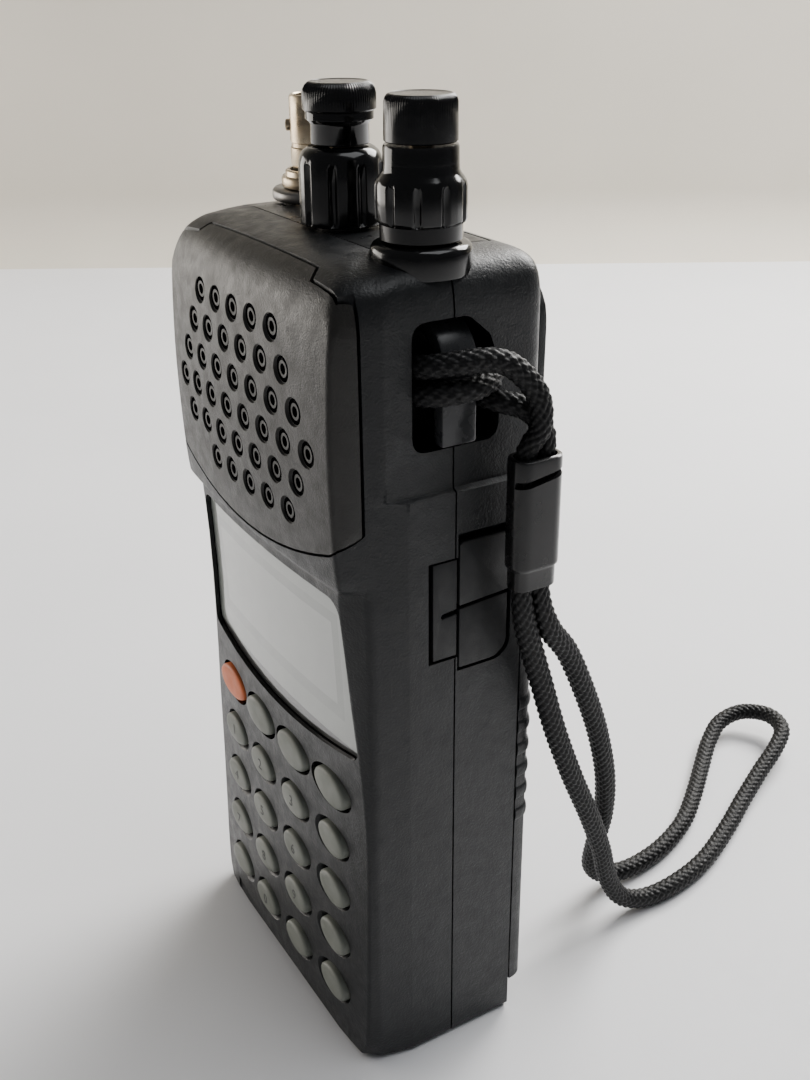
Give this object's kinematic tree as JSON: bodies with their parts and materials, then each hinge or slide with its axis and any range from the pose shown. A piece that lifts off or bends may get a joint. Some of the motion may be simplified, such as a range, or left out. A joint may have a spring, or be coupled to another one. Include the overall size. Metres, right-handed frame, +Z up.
{
  "type": "handheld airband radio",
  "caption": "Handheld airband radio with a holed speaker pad, a display, an oval keypad, stacked top knobs, an aerial jack, a belt clip and a braided wrist strap.",
  "frame": {"origin": "on the foot face that the radio stands on, in the middle of its width and 14.6 mm behind the keypad face", "axes": "+X to the right of a user who looks at the keypad, -Y out of the keypad, +Z up to the knobs"},
  "size_m": [0.0748, 0.1458, 0.1666],
  "materials": {
    "case": "fine textured",
    "grille": "fine textured",
    "panel": "satin",
    "knob": "gloss",
    "key_rubber": "matte",
    "power_key_rubber": "matte",
    "lens": "gloss",
    "display": "satin",
    "board": "satin",
    "nickel": "satin, warm with age",
    "steel": "satin",
    "cover_rubber": "matte",
    "cord": "braided",
    "cloth": "woven",
    "cell_sleeve": "shrunk film",
    "insulator": "waxy"
  },
  "bodies": {
    "radio": {"front_shell": "case", "rear_shell": "case", "speaker_grille": "grille", "speaker_cloth": "cloth", "knob_panel": "panel", "lcd_lens": "lens", "lcd_module": "display", "logic_board": "board", "main_board": "board", "speaker_driver": "steel", "left_control": "nickel", "right_control": "nickel", "right_collar": "knob", "bnc_jack": "nickel", "bnc_insulator": "insulator", "bnc_contact": "nickel", "bnc_nut": "nickel", "bnc_washer": "steel", "strap_bar": "knob", "jack_cover_spine": "cover_rubber", "com_jack": "steel", "dc_jack": "cover_rubber", "battery_pack": "cell_sleeve", "battery_terminals": "insulator", "clip_base": "case", "clip_pin": "steel", "case_screw_left": "steel", "case_screw_right": "steel", "eye_cord": "cord", "wrist_cord": "cord", "strap_sleeve": "knob"},
    "key_power": {"key_power": "power_key_rubber"},
    "key_r1c2": {"key_r1c2": "key_rubber"},
    "key_r1c3": {"key_r1c3": "key_rubber"},
    "key_r1c4": {"key_r1c4": "key_rubber"},
    "key_r2c1": {"key_r2c1": "key_rubber"},
    "key_r2c2": {"key_r2c2": "key_rubber"},
    "key_r2c3": {"key_r2c3": "key_rubber"},
    "key_r2c4": {"key_r2c4": "key_rubber"},
    "key_r3c1": {"key_r3c1": "key_rubber"},
    "key_r3c2": {"key_r3c2": "key_rubber"},
    "key_r3c3": {"key_r3c3": "key_rubber"},
    "key_r3c4": {"key_r3c4": "key_rubber"},
    "key_r4c1": {"key_r4c1": "key_rubber"},
    "key_r4c2": {"key_r4c2": "key_rubber"},
    "key_r4c3": {"key_r4c3": "key_rubber"},
    "key_r4c4": {"key_r4c4": "key_rubber"},
    "key_r5c1": {"key_r5c1": "key_rubber"},
    "key_r5c2": {"key_r5c2": "key_rubber"},
    "key_r5c3": {"key_r5c3": "key_rubber"},
    "key_r5c4": {"key_r5c4": "key_rubber"},
    "side_key": {"side_key": "cover_rubber"},
    "left_ring": {"left_ring": "knob"},
    "left_knob": {"left_knob": "knob"},
    "right_ring": {"right_ring": "knob"},
    "right_knob": {"right_knob": "knob"},
    "com_flap": {"com_flap": "cover_rubber"},
    "dc_flap": {"dc_flap": "cover_rubber"},
    "battery_door": {"battery_door": "case"},
    "belt_clip": {"belt_clip": "case"}
  },
  "joints": [
    {"name": "key_power_press", "type": "slide", "parent": "radio", "child": "key_power", "axis": [0, 1, 0], "range_m": [0, 0.0008], "stiffness_N_per_m": 900, "springref_m": -0.0006},
    {"name": "key_r1c2_press", "type": "slide", "parent": "radio", "child": "key_r1c2", "axis": [0, 1, 0], "range_m": [0, 0.0008], "stiffness_N_per_m": 900, "springref_m": -0.0006},
    {"name": "key_r1c3_press", "type": "slide", "parent": "radio", "child": "key_r1c3", "axis": [0, 1, 0], "range_m": [0, 0.0008], "stiffness_N_per_m": 900, "springref_m": -0.0006},
    {"name": "key_r1c4_press", "type": "slide", "parent": "radio", "child": "key_r1c4", "axis": [0, 1, 0], "range_m": [0, 0.0008], "stiffness_N_per_m": 900, "springref_m": -0.0006},
    {"name": "key_r2c1_press", "type": "slide", "parent": "radio", "child": "key_r2c1", "axis": [0, 1, 0], "range_m": [0, 0.0008], "stiffness_N_per_m": 900, "springref_m": -0.0006},
    {"name": "key_r2c2_press", "type": "slide", "parent": "radio", "child": "key_r2c2", "axis": [0, 1, 0], "range_m": [0, 0.0008], "stiffness_N_per_m": 900, "springref_m": -0.0006},
    {"name": "key_r2c3_press", "type": "slide", "parent": "radio", "child": "key_r2c3", "axis": [0, 1, 0], "range_m": [0, 0.0008], "stiffness_N_per_m": 900, "springref_m": -0.0006},
    {"name": "key_r2c4_press", "type": "slide", "parent": "radio", "child": "key_r2c4", "axis": [0, 1, 0], "range_m": [0, 0.0008], "stiffness_N_per_m": 900, "springref_m": -0.0006},
    {"name": "key_r3c1_press", "type": "slide", "parent": "radio", "child": "key_r3c1", "axis": [0, 1, 0], "range_m": [0, 0.0008], "stiffness_N_per_m": 900, "springref_m": -0.0006},
    {"name": "key_r3c2_press", "type": "slide", "parent": "radio", "child": "key_r3c2", "axis": [0, 1, 0], "range_m": [0, 0.0008], "stiffness_N_per_m": 900, "springref_m": -0.0006},
    {"name": "key_r3c3_press", "type": "slide", "parent": "radio", "child": "key_r3c3", "axis": [0, 1, 0], "range_m": [0, 0.0008], "stiffness_N_per_m": 900, "springref_m": -0.0006},
    {"name": "key_r3c4_press", "type": "slide", "parent": "radio", "child": "key_r3c4", "axis": [0, 1, 0], "range_m": [0, 0.0008], "stiffness_N_per_m": 900, "springref_m": -0.0006},
    {"name": "key_r4c1_press", "type": "slide", "parent": "radio", "child": "key_r4c1", "axis": [0, 1, 0], "range_m": [0, 0.0008], "stiffness_N_per_m": 900, "springref_m": -0.0006},
    {"name": "key_r4c2_press", "type": "slide", "parent": "radio", "child": "key_r4c2", "axis": [0, 1, 0], "range_m": [0, 0.0008], "stiffness_N_per_m": 900, "springref_m": -0.0006},
    {"name": "key_r4c3_press", "type": "slide", "parent": "radio", "child": "key_r4c3", "axis": [0, 1, 0], "range_m": [0, 0.0008], "stiffness_N_per_m": 900, "springref_m": -0.0006},
    {"name": "key_r4c4_press", "type": "slide", "parent": "radio", "child": "key_r4c4", "axis": [0, 1, 0], "range_m": [0, 0.0008], "stiffness_N_per_m": 900, "springref_m": -0.0006},
    {"name": "key_r5c1_press", "type": "slide", "parent": "radio", "child": "key_r5c1", "axis": [0, 1, 0], "range_m": [0, 0.0008], "stiffness_N_per_m": 900, "springref_m": -0.0006},
    {"name": "key_r5c2_press", "type": "slide", "parent": "radio", "child": "key_r5c2", "axis": [0, 1, 0], "range_m": [0, 0.0008], "stiffness_N_per_m": 900, "springref_m": -0.0006},
    {"name": "key_r5c3_press", "type": "slide", "parent": "radio", "child": "key_r5c3", "axis": [0, 1, 0], "range_m": [0, 0.0008], "stiffness_N_per_m": 900, "springref_m": -0.0006},
    {"name": "key_r5c4_press", "type": "slide", "parent": "radio", "child": "key_r5c4", "axis": [0, 1, 0], "range_m": [0, 0.0008], "stiffness_N_per_m": 900, "springref_m": -0.0006},
    {"name": "side_key_press", "type": "slide", "parent": "radio", "child": "side_key", "axis": [1, 0, 0], "range_m": [0, 0.0008], "stiffness_N_per_m": 900, "springref_m": -0.0006},
    {"name": "left_ring_turn", "type": "hinge", "parent": "radio", "child": "left_ring", "pos_m": [0.0005, 0.002, 0.147], "axis": [0, 0, 1], "range_deg": [-150, 150]},
    {"name": "left_knob_turn", "type": "hinge", "parent": "radio", "child": "left_knob", "pos_m": [0.0005, 0.002, 0.1573], "axis": [0, 0, 1], "range_deg": [-150, 150]},
    {"name": "right_ring_turn", "type": "hinge", "parent": "radio", "child": "right_ring", "pos_m": [0.0242, 0.002, 0.147], "axis": [0, 0, 1], "continuous": true},
    {"name": "right_knob_turn", "type": "hinge", "parent": "radio", "child": "right_knob", "pos_m": [0.0242, 0.002, 0.1602], "axis": [0, 0, 1], "continuous": true},
    {"name": "com_flap_open", "type": "hinge", "parent": "radio", "child": "com_flap", "pos_m": [0.0324, 0.00355, 0.0958], "axis": [0, 0, -1], "range_deg": [0, 17], "stiffness_Nm_per_rad": 0.01, "springref_deg": -2.86},
    {"name": "dc_flap_open", "type": "hinge", "parent": "radio", "child": "dc_flap", "pos_m": [0.0324, 0.00355, 0.0844], "axis": [0, 0, -1], "range_deg": [0, 22], "stiffness_Nm_per_rad": 0.01, "springref_deg": -2.86},
    {"name": "battery_door_slide", "type": "slide", "parent": "radio", "child": "battery_door", "axis": [0, 0, -1], "range_m": [0, 0.006]},
    {"name": "belt_clip_lift", "type": "hinge", "parent": "radio", "child": "belt_clip", "pos_m": [0, 0.0232, 0.128], "axis": [1, 0, 0], "range_deg": [0, 12], "stiffness_Nm_per_rad": 0.4, "springref_deg": -5.73}
  ]
}
